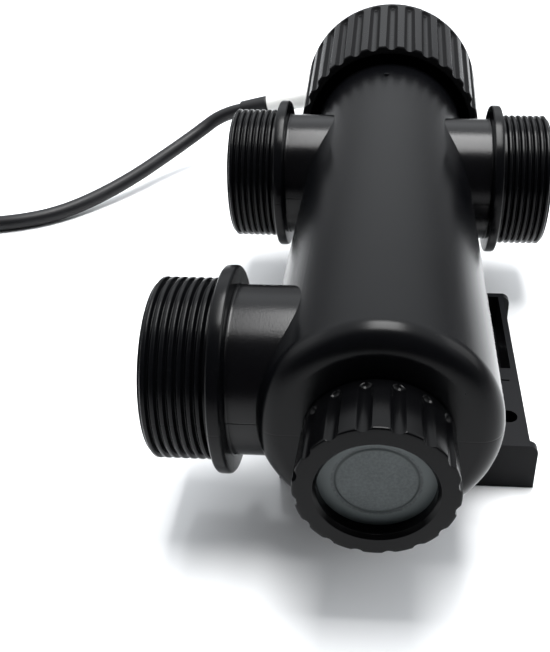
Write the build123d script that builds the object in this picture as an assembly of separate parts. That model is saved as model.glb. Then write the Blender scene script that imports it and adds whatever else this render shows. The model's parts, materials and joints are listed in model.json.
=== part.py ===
"""UV clarifier for a pond or aquarium: a 63 mm tube with three 1 1/2 inch spigots and a lamp head.

Millimetres, +Z up. The tube's axis runs along +Y, from the inspection window to the lamp head.
The origin is the middle of the mounting bracket's foot, on the surface that it stands on.
"""
import os
from math import atan, cos, degrees, pi, radians, sin, tan

from build123d import *

# ---- driving dimensions -------------------------------------------------------------------
AXIS_Z = 45.5            # height of the tube's axis over the mounting surface
FRONT_Y = -76.0          # the tube's front end face; "along" below is measured from here
TUBE_R = 31.5            # 63 mm pipe size
WALL = 3.0
BORE_R = TUBE_R - WALL
TUBE_END = 240.0         # mouth for the lamp head
FACE_ROUND = 6.7         # rounding of the tube's front edge

PORT_FRONT = 27.3        # along, centre of the front spigot
PORT_REAR_LEFT = 160.0
PORT_REAR_RIGHT = 158.0
PORTS = ((PORT_FRONT, -1), (PORT_REAR_LEFT, -1), (PORT_REAR_RIGHT, 1))
THREAD_R = 24.9          # 1 1/2 inch union thread, crest radius
THREAD_DEPTH = 1.15
THREAD_PITCH = 2.309
PORT_BORE_R = 19.0
NECK_R = 23.3
FLANGE_R = 28.5
FLANGE_IN, FLANGE_OUT = 38.9, 42.7   # distance of the flange's two faces from the tube's axis
PORT_REACH = 60.6

NECK_FRONT = -10.4       # threaded neck that carries the window ring
NECK_BORE_R = 12.5
NECK_CREST_R = 16.5
RING_R, RING_FRONT, RING_BACK = 19.65, -19.0, -0.6
RING_PITCH = 2.0
RING_FLUTES, COLLAR_FLUTES = 16, 32
WINDOW_OPEN_R = 14.0
WINDOW_R = 15.7
WINDOW_FACE = -14.8      # the disc's front face
WINDOW_THICK = 2.6

COLLAR_FRONT, COLLAR_BACK = 203.0, 266.2
COLLAR_FRONT_R, COLLAR_BACK_R = 39.2, 41.6
COLLAR_BORE_R = 35.0
HOUSING_CREST_R = 34.2
COLLAR_PITCH = 4.0
COLLAR_LIP = (246.1, 251.0)

SLEEVE_R, SLEEVE_BORE_R, SLEEVE_TIP, SLEEVE_END = 16.5, 15.0, 6.0, 198.0
LAMP_TUBE_R, LAMP_TUBE_X = 6.25, 7.5
LAMP_TIP, LAMP_BASE, LAMP_SEAT = 17.5, 220.0, 232.0
HOLDER_FRONT, BULKHEAD = 232.5, 256.0
HEAD_R, HEAD_BORE_R, HEAD_END = 32.0, 29.5, 303.0
NOSE_R, NOSE_BORE_R, NOSE_FRONT = 27.9, 23.5, 226.0

GLAND_ALONG = 283.0      # along, centre of the cable gland
GLAND_DROP = 12.5        # degrees that the gland points below level, to the left
NUT_TIP = 66.5           # distance of the gland nut's tail from the tube's axis
RELIEF_TIP = 81.0        # distance of the rubber boot's tip from the tube's axis
CABLE_R = 3.5            # 7 mm rubber mains cable

FOOT_LEFT, FOOT_RIGHT = -28.0, 44.6   # X of the bracket's side walls; it reaches out to the right
FOOT_Y, FOOT_Z = 43.2, 16.4           # half length, and height
END_OVER, END_WALL = 2.4, 2.6         # how far the end walls pass the side walls; their thickness
SIDE_WALL = 2.0
DECK_THICK = 6.0
DECK_END = -4.6          # row Y where the front deck stops and the pocket starts
SCREW_HOLE_R = 2.9
SCREW_X, SCREW_Y = 39.2, 29.6
SADDLE_SCREWS_Y = (-23.0, 24.0)

os.makedirs("parts", exist_ok=True)


# ---- helpers ------------------------------------------------------------------------------
def save(name, shape):
    """Write one sub-part as its own STEP file."""
    export_step(shape, f"parts/{name}.step")


def turned(outline):
    """Turn a closed outline of (radius, along) points about the Y axis."""
    return revolve(make_face(Polyline(*outline, close=True)), Axis.Y)


def on_tube(shape):
    """Put a shape made about the Y axis on the tube's axis."""
    return Pos(0, FRONT_Y, AXIS_Z) * shape


def on_port(shape, along, side):
    """Put a shape made about the Y axis on a spigot; side is +1 for right and -1 for left."""
    return Pos(0, FRONT_Y + along, AXIS_Z) * Rot(0, 0, -90 * side) * shape


def on_gland(shape):
    """Put a shape made about the Y axis on the gland's axis, which leaves to the left."""
    return Pos(0, FRONT_Y + GLAND_ALONG, AXIS_Z) * Rot(0, -GLAND_DROP, 0) * Rot(0, 0, 90) * shape


def tube(outer, inner, start, end):
    """A plain ring or bush about the Y axis."""
    return turned([(inner, start), (outer, start), (outer, end), (inner, end)])


def rod(radius, start, end):
    """A plain round bar about the Y axis."""
    return turned([(0, start), (radius, start), (radius, end), (0, end)])


def block(width, height, start, end):
    """A bar of rectangular section along the Y axis."""
    return Pos(0, (start + end) / 2, 0) * Box(width, end - start, height)


def hexagon(across_flats, start, end):
    """A hexagonal bar about the Y axis."""
    face = Pos(0, start, 0) * Rot(-90, 0, 0) * RegularPolygon(across_flats / 2, 6, major_radius=False)
    return extrude(face, end - start, dir=(0, 1, 0))


def ridges(crest, depth, pitch, start, count):
    """Outline points of a row of thread ridges, flat-topped, going along +Y."""
    points = []
    for turn in range(count):
        base = start + turn * pitch
        points += [(crest - depth, base + 0.15 * pitch), (crest, base + 0.38 * pitch),
                   (crest, base + 0.72 * pitch), (crest - depth, base + 0.95 * pitch)]
    return points


def around(shape, count, first=0.0):
    """Copies of a shape, evenly spaced about the Y axis."""
    return [Rot(0, first + turn * 360 / count, 0) * shape for turn in range(count)]


def flute(surface_r, cutter_r, bite, start, end, lean=0.0):
    """A round-bottomed cutter along the top of a cap, with a ball end at end."""
    middle = surface_r + cutter_r - bite
    bar = Pos(0, (start + end) / 2, 0) * Rot(90, 0, 0) * Cylinder(cutter_r, end - start)
    cutter = bar + Pos(0, end, 0) * Sphere(cutter_r)
    return Pos(0, 0, middle) * Rot(lean, 0, 0) * cutter


def torus(major, minor, along):
    """An O-ring about the Y axis."""
    return Pos(0, along, 0) * Rot(90, 0, 0) * Torus(major, minor)


# ---- housing ------------------------------------------------------------------------------
def housing():
    """One moulding: tube, window neck, three threaded spigots and the mouth for the lamp head."""
    thread_start = 209.0
    body = turned([
        (0, NECK_FRONT), (NECK_CREST_R - 0.6, NECK_FRONT),
        *ridges(NECK_CREST_R, 0.6, RING_PITCH, NECK_FRONT + 0.4, 4),
        (NECK_CREST_R - 0.6, 0), (TUBE_R, 0), (TUBE_R, thread_start - 3),
        (HOUSING_CREST_R - 1.2, thread_start - 1),
        *ridges(HOUSING_CREST_R, 1.2, COLLAR_PITCH, thread_start, 7),
        (HOUSING_CREST_R - 1.2, TUBE_END), (0, TUBE_END)])
    front_edge = body.edges().filter_by(GeomType.CIRCLE).filter_by(
        lambda edge: abs(edge.radius - TUBE_R) < 0.01).sort_by(Axis.Y)[0]
    body = on_tube(fillet(front_edge, FACE_ROUND))
    for along, side in PORTS:
        body += on_port(spigot(), along, side)
    for screw_y in SADDLE_SCREWS_Y:
        body += Pos(0, screw_y, (9 + AXIS_Z - BORE_R) / 2) * Cylinder(5, AXIS_Z - BORE_R - 9)
    body += on_tube(Pos(-1.7, 189, TUBE_R) * Cylinder(1.4, 1.2))
    chamber = turned([(0, WALL), (BORE_R - 4, WALL), (BORE_R, WALL + 4), (BORE_R, TUBE_END + 1),
                      (0, TUBE_END + 1)])
    body -= on_tube(chamber + rod(NECK_BORE_R, NECK_FRONT - 1, WALL + 1))
    for along, side in PORTS:
        body -= on_port(rod(PORT_BORE_R, BORE_R - 16, PORT_REACH + 1), along, side)
    for screw_y in SADDLE_SCREWS_Y:
        body -= Pos(0, screw_y, 11.9) * Cylinder(1.9, 6.0)
    return body


def spigot():
    """Neck, flange and 1 1/2 inch male pipe thread, about the Y axis."""
    core = THREAD_R - THREAD_DEPTH
    soft = 0.8
    return turned([
        (0, TUBE_R - 14), (NECK_R, TUBE_R - 14), (NECK_R, FLANGE_IN), (FLANGE_R - soft, FLANGE_IN),
        (FLANGE_R, FLANGE_IN + soft), (FLANGE_R, FLANGE_OUT - soft), (FLANGE_R - soft, FLANGE_OUT),
        (core, FLANGE_OUT), *ridges(THREAD_R, THREAD_DEPTH, THREAD_PITCH, FLANGE_OUT + 1.25, 7),
        (core, PORT_REACH - 0.4), (core - 0.6, PORT_REACH), (0, PORT_REACH)])


# ---- inspection window --------------------------------------------------------------------
def window_ring():
    """Fluted screw ring: lip over the disc, plain rim at the back, bore over the neck's thread."""
    lip = WINDOW_FACE - 0.1
    bore = NECK_CREST_R + 0.5
    soft = 0.7
    ring = turned([
        (WINDOW_OPEN_R + 0.9, RING_FRONT), (RING_R - soft, RING_FRONT), (RING_R, RING_FRONT + soft),
        (RING_R, RING_BACK - soft), (RING_R - soft, RING_BACK), (bore, RING_BACK),
        (bore, NECK_FRONT - 0.5), (WINDOW_R + 0.4, NECK_FRONT - 0.5), (WINDOW_R + 0.4, lip),
        (WINDOW_OPEN_R, lip), (WINDOW_OPEN_R, RING_FRONT + 1.1)])
    cutter = flute(RING_R, 2.2, 0.8, RING_FRONT - 3, RING_BACK - 5.2)
    return on_tube(ring - around(cutter, RING_FLUTES, 180 / RING_FLUTES))


def window_disc():
    """Frosted disc with a shallow ring groove in its front face."""
    groove_r = 10.1
    disc = rod(WINDOW_R, WINDOW_FACE, WINDOW_FACE + WINDOW_THICK)
    return on_tube(disc - tube(groove_r + 0.25, groove_r - 0.25, WINDOW_FACE - 1, WINDOW_FACE + 0.25))


def window_gasket():
    """Flat rubber ring between the disc and the neck's end."""
    return on_tube(tube(WINDOW_R - 0.2, 13.1, WINDOW_FACE + WINDOW_THICK, NECK_FRONT - 0.05))


# ---- sleeve and its seal ------------------------------------------------------------------
def quartz_sleeve():
    """Quartz tube closed at the window end."""
    end_round = 5.0
    steps = [(cos(radians(a)), sin(radians(a))) for a in (75, 60, 45, 30, 15)]
    thick = SLEEVE_R - SLEEVE_BORE_R
    outer = sorted([(SLEEVE_R - end_round + end_round * c, SLEEVE_TIP + end_round * (1 - s))
                    for c, s in steps], key=lambda point: point[1])
    inner_round = end_round - thick
    inner = sorted([(SLEEVE_BORE_R - inner_round + inner_round * c,
                     SLEEVE_TIP + thick + inner_round * (1 - s)) for c, s in steps],
                   key=lambda point: -point[1])
    return on_tube(turned([
        (0, SLEEVE_TIP), (SLEEVE_R - end_round, SLEEVE_TIP), *outer,
        (SLEEVE_R, SLEEVE_TIP + end_round), (SLEEVE_R, SLEEVE_END), (SLEEVE_BORE_R, SLEEVE_END),
        (SLEEVE_BORE_R, SLEEVE_TIP + end_round), *inner,
        (SLEEVE_BORE_R - inner_round, SLEEVE_TIP + thick), (0, SLEEVE_TIP + thick)]))


def sleeve_support():
    """Three-legged spider that centres the sleeve in the tube."""
    start, end = 54.0, 60.0
    spider = tube(19.0, SLEEVE_R + 0.2, start, end)
    leg = Pos(0, (start + end) / 2, (18.5 + BORE_R - 0.2) / 2) * Box(2.2, end - start, BORE_R - 18.7)
    for arm in around(leg, 3):
        spider += arm
    return on_tube(spider)


def sleeve_carrier():
    """Bulkhead between the wet chamber and the dry lamp end, with a pocket for the seal."""
    return on_tube(turned([(SLEEVE_R + 0.3, 186), (BORE_R - 0.1, 186), (BORE_R - 0.1, 191),
                           (25, 191), (25, 198), (22, 198), (22, 189.5), (SLEEVE_R + 0.3, 189.5)]))


def sleeve_nut():
    """Ring that presses the sleeve's O-ring."""
    nut = turned([(SLEEVE_R + 0.4, 194.2), (21.8, 194.2), (21.8, 198), (24.2, 198.2), (24.2, 201),
                  (SLEEVE_R + 0.4, 201)])
    notch = Pos(0, 200.5, 21) * Box(4, 4, 8)
    return on_tube(nut - around(notch, 4))


# ---- lamp ---------------------------------------------------------------------------------
def lamp_tubes():
    """Twin quartz tubes joined by a short bridge near the tip."""
    lamp = Pos(0, LAMP_TIP + 9, 0) * Rot(0, 90, 0) * Cylinder(2.6, 2 * LAMP_TUBE_X - 8)
    for side in (-1, 1):
        limb = rod(LAMP_TUBE_R, LAMP_TIP, LAMP_BASE)
        limb = fillet(limb.edges().sort_by(Axis.Y)[0], 2.5)
        lamp += Pos(side * LAMP_TUBE_X, 0, 0) * limb
    return on_tube(lamp)


def lamp_base():
    """Two-pin plug-in base."""
    cap = fillet(block(32, 20, LAMP_BASE, LAMP_SEAT).edges().filter_by(Axis.Y), 4)
    spine = fillet(block(19.6, 12.6, LAMP_SEAT, LAMP_SEAT + 21).edges().filter_by(Axis.Y), 1.5)
    return on_tube(cap + spine)


def lamp_pins():
    """The base's two contact pins."""
    return on_tube(Compound([Pos(side * 12.4, 0, 0) * rod(1.1, LAMP_SEAT, LAMP_SEAT + 6.6)
                             for side in (-1, 1)]))


# ---- lamp head ----------------------------------------------------------------------------
def cover_posts(radius, start, end):
    """Four posts for the end cover's screws, about the Y axis."""
    return around(Pos(0, 0, 26.5) * rod(radius, start, end), 4, 45)


def head_body():
    """Nose that seals in the tube, clamping flange, and the shell round the ballast."""
    groove = (231.0, 233.7)
    shell = turned([
        (NOSE_BORE_R, NOSE_FRONT), (NOSE_R - 0.8, NOSE_FRONT), (NOSE_R, NOSE_FRONT + 0.8),
        (NOSE_R, groove[0]), (25.7, groove[0]), (25.7, groove[1]), (NOSE_R, groove[1]),
        (NOSE_R, 240.5), (34.2, 240.5), (34.2, 244.8), (HEAD_R, 244.8), (HEAD_R, HEAD_END),
        (HEAD_BORE_R, HEAD_END), (HEAD_BORE_R, BULKHEAD + 3), (0, BULKHEAD + 3), (0, BULKHEAD),
        (NOSE_BORE_R, BULKHEAD)])
    for post in cover_posts(3.6, BULKHEAD + 3, HEAD_END - 6):
        shell += post
    shell = on_tube(shell)
    shell += on_gland(rod(9.5, 27.0, 30.0))
    shell -= on_gland(rod(10.5, 30.9, 40))
    shell -= on_gland(rod(6.0, 20, 40))
    shell -= on_tube(Pos(0, 0, 17) * block(14, 5, BULKHEAD - 1, BULKHEAD + 4))
    for post in cover_posts(1.4, HEAD_END - 16, HEAD_END):
        shell -= on_tube(post)
    return shell


def end_cover():
    """Lid over the ballast, let into the shell, with a shallow dished middle."""
    inside = HEAD_END - 3.8
    cover = turned([(0, inside), (28.6, inside), (28.6, HEAD_END + 0.8), (31.2, HEAD_END + 0.8),
                    (HEAD_R, HEAD_END + 1.6), (HEAD_R, HEAD_END + 3.6), (HEAD_R - 1, HEAD_END + 4.6),
                    (20, HEAD_END + 4.6), (19, HEAD_END + 3.8), (0, HEAD_END + 3.8)])
    for hole in cover_posts(1.8, inside - 8, HEAD_END + 10):
        cover -= hole
    for counterbore in cover_posts(3.0, HEAD_END + 2.4, HEAD_END + 10):
        cover -= counterbore
    for well in cover_posts(4.1, inside - 8, inside + 0.1):
        cover -= well
    return on_tube(cover)


def end_cover_screws():
    """Four pan-head screws with cross recesses."""
    cross = Pos(0, HEAD_END + 4.6, 26.5) * (Box(3.2, 1.6, 0.7) + Box(0.7, 1.6, 3.2))
    shanks = cover_posts(1.35, HEAD_END - 12, HEAD_END + 2.5)
    heads = cover_posts(2.8, HEAD_END + 2.45, HEAD_END + 4.4)
    screws = [(shank + head - recess).solids()[0]
              for shank, head, recess in zip(shanks, heads, around(cross, 4, 45))]
    return on_tube(Compound(screws))


def lamp_holder():
    """Socket for the lamp's base, with contact holes either side."""
    holder = fillet(block(37, 22, HOLDER_FRONT, BULKHEAD - 0.05).edges().filter_by(Axis.Y), 2)
    holder -= block(20.4, 13.4, HOLDER_FRONT - 1, HOLDER_FRONT + 21.5)
    for side in (-1, 1):
        holder -= Pos(side * 12.4, 0, 0) * rod(1.5, HOLDER_FRONT - 1, HOLDER_FRONT + 8)
        holder -= Pos(side * 15.9, 0, 0) * rod(1.2, HOLDER_FRONT - 1, BULKHEAD + 1)
    return on_tube(holder)


def lamp_holder_screws():
    """Two screws that hold the lamp holder to the bulkhead."""
    screw = rod(1.15, HOLDER_FRONT + 4, BULKHEAD - 0.1)
    return on_tube(Compound([Pos(side * 15.9, 0, 0) * screw for side in (-1, 1)]))


def ballast_board():
    """Round circuit board behind the bulkhead."""
    return on_tube(rod(22.3, 266.0, 267.6))


def ballast_parts():
    """Choke, capacitor, transistors and fuse on the board."""
    top = 267.6
    choke = Pos(8, 0, 9) * block(15, 14, top, top + 14)
    capacitor = Pos(-9, 0, 10) * rod(5.5, top, top + 20)
    small = [Pos(x, 0, z) * block(4.5, 8, top, top + 10) for x, z in ((12, -8), (5, -9))]
    fuse = Pos(-4, 0, -14) * rod(2.4, top, top + 7)
    return on_tube(Compound([choke, capacitor, *small, fuse]))


def board_pillars():
    """Three pillars between the bulkhead and the board."""
    return on_tube(Compound(around(Pos(0, 0, 18.5) * rod(2.4, BULKHEAD + 3, 266.0), 3, 60)))


def terminal_block():
    """Two-way terminal block for the mains cores."""
    terminals = Pos(4, 0, 0) * block(16, 9, 288.6, 297.6)
    for side in (-1, 1):
        terminals -= Pos(4 + side * 4, 0, 0) * rod(1.6, 287, 292.6)
    return on_tube(terminals)


def lamp_leads():
    """Two leads from the board through the bulkhead to the lamp holder."""
    lead = rod(0.9, BULKHEAD - 0.05, 266.0)
    return on_tube(Compound([Pos(side * 3, 0, 17) * lead for side in (-1, 1)]))


# ---- cable gland --------------------------------------------------------------------------
def gland_body():
    """Gland screwed into the head's wall: collar, threaded barrel and the cable's way through."""
    return on_gland(hexagon(15.5, 30.9, 33.4) + rod(5.9, 21.0, 30.9) + rod(5.6, 33.4, 39.0)
                    - rod(CABLE_R + 0.2, 20, 40) - rod(4.9, 34.4, 40))


def gland_locknut():
    """Hexagonal nut inside the head."""
    return on_gland(hexagon(15.0, 23.4, 26.95) - rod(6.0, 20, 30))


def gland_seal():
    """Rubber bush squeezed round the cable."""
    return on_gland(tube(4.8, CABLE_R + 0.1, 34.4, 38.9))


def gland_nut():
    """Round nut with grip flats over the barrel, drawn out into a slender tail over the cable."""
    nut = turned([(6.0, 33.8), (7.8, 33.8), (7.8, 39.6), (6.9, 41.0), (5.6, 43.0), (4.9, NUT_TIP - 0.6),
                  (4.5, NUT_TIP), (4.0, NUT_TIP), (4.0, 39.4), (6.0, 39.4)])
    flat = Pos(0, 36.6, 9.3) * Box(6, 4.4, 4)
    return on_gland(nut - around(flat, 8))


def strain_relief():
    """Short tapered rubber boot that ends the gland."""
    root = NUT_TIP + 0.4
    return on_gland(turned([
        (CABLE_R + 0.1, root), (4.5, root), (4.7, root + 0.6), (4.4, RELIEF_TIP - 0.6),
        (4.0, RELIEF_TIP), (0, RELIEF_TIP), (0, RELIEF_TIP - 0.4), (CABLE_R + 0.1, RELIEF_TIP - 0.4)]))


def cable_end():
    """The cable's straight stretch inside the gland and the boot."""
    return on_gland(rod(CABLE_R, 20.0, RELIEF_TIP - 0.4))


# ---- clamp collar -------------------------------------------------------------------------
def clamp_collar():
    """Big fluted screw collar that clamps the lamp head onto the tube's threaded mouth."""
    soft = 1.0
    lip_in, lip_out = COLLAR_LIP
    first_ridge = 212.0
    bore = ridges(COLLAR_BORE_R - 0.4, -0.4, COLLAR_PITCH, first_ridge, 6)
    collar = turned([
        (COLLAR_BORE_R + 1, COLLAR_FRONT), (COLLAR_FRONT_R - soft, COLLAR_FRONT),
        (COLLAR_FRONT_R, COLLAR_FRONT + soft), (COLLAR_BACK_R, COLLAR_BACK - soft),
        (COLLAR_BACK_R - soft, COLLAR_BACK), (36.8, COLLAR_BACK), (36.8, lip_out),
        (32.5, lip_out), (32.5, lip_in), (COLLAR_BORE_R, lip_in), *bore[::-1],
        (COLLAR_BORE_R + 1, COLLAR_FRONT + 8)])
    lean = degrees(atan((COLLAR_BACK_R - COLLAR_FRONT_R) / (COLLAR_BACK - COLLAR_FRONT)))
    cutter = flute(0, 2.5, 1.5, -6, COLLAR_BACK - COLLAR_FRONT - 4.5, lean)
    cutter = Pos(0, COLLAR_FRONT, COLLAR_FRONT_R) * cutter
    return on_tube(collar - around(cutter, COLLAR_FLUTES, 0))


# ---- bracket ------------------------------------------------------------------------------
def bracket():
    """Mounting foot: end walls, side walls, front deck, open pocket and a rear saddle."""
    deck_z = FOOT_Z - DECK_THICK
    middle, width = (FOOT_LEFT + FOOT_RIGHT) / 2, FOOT_RIGHT - FOOT_LEFT
    inner_width, inner_y = width - 2 * SIDE_WALL, FOOT_Y - END_WALL
    foot = Pos(middle, 0, FOOT_Z / 2) * Box(width, 2 * FOOT_Y, FOOT_Z)
    foot -= Pos(middle, (DECK_END + inner_y) / 2, FOOT_Z / 2 + 3) * Box(
        inner_width, inner_y - DECK_END, FOOT_Z)
    cell_end = DECK_END - 2.2
    foot -= Pos(middle, (cell_end - inner_y) / 2, deck_z / 2) * Box(
        inner_width, cell_end + inner_y, deck_z)
    for rib_x in (-14, 14):
        foot += Pos(rib_x, (cell_end - inner_y) / 2, deck_z / 2) * Box(2, cell_end + inner_y, deck_z)
    foot += Pos(SCREW_X, -SCREW_Y, deck_z / 2) * Cylinder(FOOT_RIGHT - SCREW_X, deck_z)
    rear_saddle = Pos(0, SADDLE_SCREWS_Y[1], FOOT_Z / 2) * Box(34, 18, FOOT_Z)
    foot += rear_saddle - Pos(0, SADDLE_SCREWS_Y[1], deck_z / 2) * Box(30, 14, deck_z)
    foot -= Pos(0, SADDLE_SCREWS_Y[1], 2) * Box(30, 14, 6)
    for end in (-1, 1):
        wall = Pos(middle, end * (FOOT_Y - END_WALL / 2), FOOT_Z / 2) * Box(
            width + 2 * END_OVER, END_WALL, FOOT_Z)
        corners = wall.edges().filter_by(Axis.Y).group_by(Axis.Z)[-1]
        foot += fillet(corners, 3.0)
    foot -= Pos(0, 0, AXIS_Z) * Rot(90, 0, 0) * Cylinder(TUBE_R + 0.05, 3 * FOOT_Y)
    for y in (-SCREW_Y, SCREW_Y):
        foot -= Pos(SCREW_X, y, FOOT_Z / 2) * Cylinder(SCREW_HOLE_R, 3 * FOOT_Z)
    for screw_y in SADDLE_SCREWS_Y:
        foot -= Pos(0, screw_y, FOOT_Z / 2) * Cylinder(5.1, 3 * FOOT_Z)
    foot -= Pos(FOOT_RIGHT - 22, DECK_END - 6.6, FOOT_Z) * Box(38, 0.7, 0.8)
    return foot


def saddle_screws():
    """Two washer-head screws from under the bracket into the tube's bosses."""
    screws = []
    for screw_y in SADDLE_SCREWS_Y:
        screw = Pos(0, screw_y, 11.6) * Cylinder(1.85, 6.0)
        screw += Pos(0, screw_y, 8.0) * Cylinder(6.3, 1.6)
        screw += Pos(0, screw_y, 6.4) * Cylinder(3.6, 2.0)
        screw -= Pos(0, screw_y, 5.6) * (Box(4.4, 0.9, 1.6) + Box(0.9, 4.4, 1.6))
        screws.append(screw.solids()[0])
    return Compound(screws)


# ---- mains cable --------------------------------------------------------------------------
def gland_point(reach):
    """A point on the gland's axis, at a distance from the tube's axis."""
    return (-reach * cos(radians(GLAND_DROP)), FRONT_Y + GLAND_ALONG,
            AXIS_Z - reach * sin(radians(GLAND_DROP)))


ROUTE = [
    gland_point(RELIEF_TIP), gland_point(RELIEF_TIP + 11), (-102.8, 200.2, 17.2),
    (-117.0, 182.0, 11.2), (-130.4, 159.6, 7.4), (-145.1, 140.4, 4.5), (-158.7, 126.0, CABLE_R),
    (-175.5, 117.1, CABLE_R), (-193.1, 113.8, CABLE_R), (-209.0, 113.2, CABLE_R),
]
COIL_X, COIL_Y = -225.0, 67.5
COIL_MID_R, COIL_TURNS_WIDE, COIL_TURNS_HIGH = 38.5, 3, 3
TIE_THICK = 1.0
TAIL = [
    (-270.7, 67.5, 17.0), (-271.2, 55.0, 15.5), (-270.0, 41.0, 10.5), (-264.0, 27.0, 7.4),
    (-254.0, 16.0, 6.9), (-241.0, 10.5, 6.9), (-228.0, 10.5, 6.9),
]
PLUG_LONG, PLUG_WIDE, PLUG_THICK = 37.0, 35.0, 13.7


def corner_radii(route):
    """The largest arc that each corner's two runs leave room for."""
    radii = []
    for before, here, after in zip(route, route[1:], route[2:]):
        way_in, way_out = Vector(here) - Vector(before), Vector(after) - Vector(here)
        turn = radians(way_in.get_angle(way_out))
        radii.append(0.45 * min(way_in.length, way_out.length) / tan(turn / 2))
    return radii


def cable(name, route):
    """A tube of straight runs and arcs along a route."""
    radii = corner_radii(route)
    path = FilletPolyline(*route, radius=radii)
    start = Plane(origin=route[0], z_dir=Vector(route[1]) - Vector(route[0]))
    solid = sweep(start * Circle(CABLE_R), path=path)
    print(name, "radii", [round(radius) for radius in radii], "length", round(path.length, 1),
          "volume ratio", round(solid.volume / (pi * CABLE_R ** 2 * path.length), 4))
    return solid


def cable_coil():
    """Closed ring with the outer shape of the coiled cable."""
    half = COIL_TURNS_WIDE * CABLE_R + 0.4
    high = COIL_TURNS_HIGH * 2 * CABLE_R
    ring = revolve(make_face(Polyline(
        (COIL_MID_R - half, 1.5), (COIL_MID_R - half + 1.5, 0), (COIL_MID_R + half - 1.5, 0),
        (COIL_MID_R + half, 1.5), (COIL_MID_R + half, high - 3), (COIL_MID_R + half - 3, high),
        (COIL_MID_R - half + 3, high), (COIL_MID_R - half, high - 3), close=True)), Axis.Y)
    return Pos(COIL_X, COIL_Y, 0) * Rot(90, 0, 0) * ring - tie_envelope()


def tie_envelope():
    """The strap round the coil's section: a flat loop on the side nearest the window."""
    wide = 2 * COIL_TURNS_WIDE * CABLE_R + 3.2
    high = COIL_TURNS_HIGH * 2 * CABLE_R + 1.2
    loop = Box(9, wide, high) - Box(10, wide - 2 * TIE_THICK, high - 2 * TIE_THICK)
    return Pos(COIL_X, COIL_Y - COIL_MID_R, high / 2) * loop


def plug_place(shape):
    """Put a shape made about the Y axis on the plug's axis, which points along +X."""
    return Pos(*TAIL[-1]) * Rot(0, 0, -90) * shape


def plug_relief():
    """Tapered boot between the cable and the plug."""
    return plug_place(turned([(0, 0), (4.3, 0), (6.2, 24), (0, 24)]))


def plug_body():
    """Flat six-sided two-pin plug."""
    start = 24.0
    outline = Polyline((-7, start), (-PLUG_WIDE / 2, start + 9), (-PLUG_WIDE / 2, start + 24),
                       (-12.5, start + PLUG_LONG), (12.5, start + PLUG_LONG),
                       (PLUG_WIDE / 2, start + 24), (PLUG_WIDE / 2, start + 9), (7, start),
                       close=True)
    body = extrude(make_face(outline), PLUG_THICK / 2, both=True)
    return plug_place(fillet(body.edges().filter_by(Axis.Z), 2.5))


def plug_pins():
    """Two round pins, sleeved at the root."""
    start = 24.0 + PLUG_LONG
    pin = rod(1.9, start, start + 9.5) + rod(2.0, start + 9.5, start + 19)
    pin = fillet(pin.edges().sort_by(Axis.Y)[-1], 1.2)
    return plug_place(Compound([Pos(side * 9.3, 0, 0) * pin for side in (-1, 1)]))


# ---- write every piece --------------------------------------------------------------------
save("housing", housing())
save("quartz_sleeve", quartz_sleeve())
save("sleeve_support", sleeve_support())
save("sleeve_carrier", sleeve_carrier())
save("sleeve_o_ring", on_tube(torus(19.4, 1.8, 191.9)))
save("sleeve_nut", sleeve_nut())
save("mounting_bracket", bracket())
save("saddle_screws", saddle_screws())
save("window_ring", window_ring())
save("window_disc", window_disc())
save("window_gasket", window_gasket())
save("head_body", head_body())
save("head_o_ring", on_tube(torus(26.9, 1.2, 232.35)))
save("slip_ring", on_tube(tube(34.6, 32.3, 245.0, 246.0)))
save("end_cover", end_cover())
save("end_cover_gasket", on_tube(tube(31.6, 29.6, HEAD_END, HEAD_END + 0.8)))
save("end_cover_screws", end_cover_screws())
save("lamp_holder", lamp_holder())
save("lamp_holder_screws", lamp_holder_screws())
save("ballast_board", ballast_board())
save("ballast_parts", ballast_parts())
save("board_pillars", board_pillars())
save("terminal_block", terminal_block())
save("lamp_leads", lamp_leads())
save("gland_body", gland_body())
save("gland_locknut", gland_locknut())
save("gland_seal", gland_seal())
save("strain_relief", strain_relief())
save("cable_end", cable_end())
save("mains_cable", cable("mains_cable", ROUTE))
save("mains_cable_coil", cable_coil())
save("mains_cable_tail", cable("mains_cable_tail", TAIL))
save("coil_tie", tie_envelope())
save("plug_relief", plug_relief())
save("plug_body", plug_body())
save("plug_pins", plug_pins())
save("clamp_collar", clamp_collar())
save("lamp_tubes", lamp_tubes())
save("lamp_base", lamp_base())
save("lamp_pins", lamp_pins())
save("gland_nut", gland_nut())
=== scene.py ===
"""UV clarifier with a side-ported tube, window ring, clamp collar, lamp head, bracket and mains lead."""
import json
import math

import bmesh
import bpy
from mathutils import Matrix, Vector


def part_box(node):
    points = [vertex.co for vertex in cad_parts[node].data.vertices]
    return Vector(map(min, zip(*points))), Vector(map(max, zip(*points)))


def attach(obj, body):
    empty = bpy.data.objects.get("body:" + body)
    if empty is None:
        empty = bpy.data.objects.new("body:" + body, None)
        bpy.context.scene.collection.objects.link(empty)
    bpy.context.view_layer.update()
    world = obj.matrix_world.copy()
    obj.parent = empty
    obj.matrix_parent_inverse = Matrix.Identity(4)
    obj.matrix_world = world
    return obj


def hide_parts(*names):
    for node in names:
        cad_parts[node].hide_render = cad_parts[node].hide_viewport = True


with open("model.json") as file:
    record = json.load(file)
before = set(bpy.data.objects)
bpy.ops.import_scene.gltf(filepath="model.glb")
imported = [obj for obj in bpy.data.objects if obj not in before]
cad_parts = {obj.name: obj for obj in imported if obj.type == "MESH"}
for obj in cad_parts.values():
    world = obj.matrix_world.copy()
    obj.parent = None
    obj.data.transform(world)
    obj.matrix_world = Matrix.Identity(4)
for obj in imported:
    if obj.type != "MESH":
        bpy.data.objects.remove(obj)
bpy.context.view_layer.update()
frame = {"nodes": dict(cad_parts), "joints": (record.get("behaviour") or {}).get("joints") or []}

# ---- driving sizes, in millimetres unless a name says metres ----------------------------------
MM = 0.001
JOINTS = {joint["name"]: joint for joint in frame["joints"]}
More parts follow.
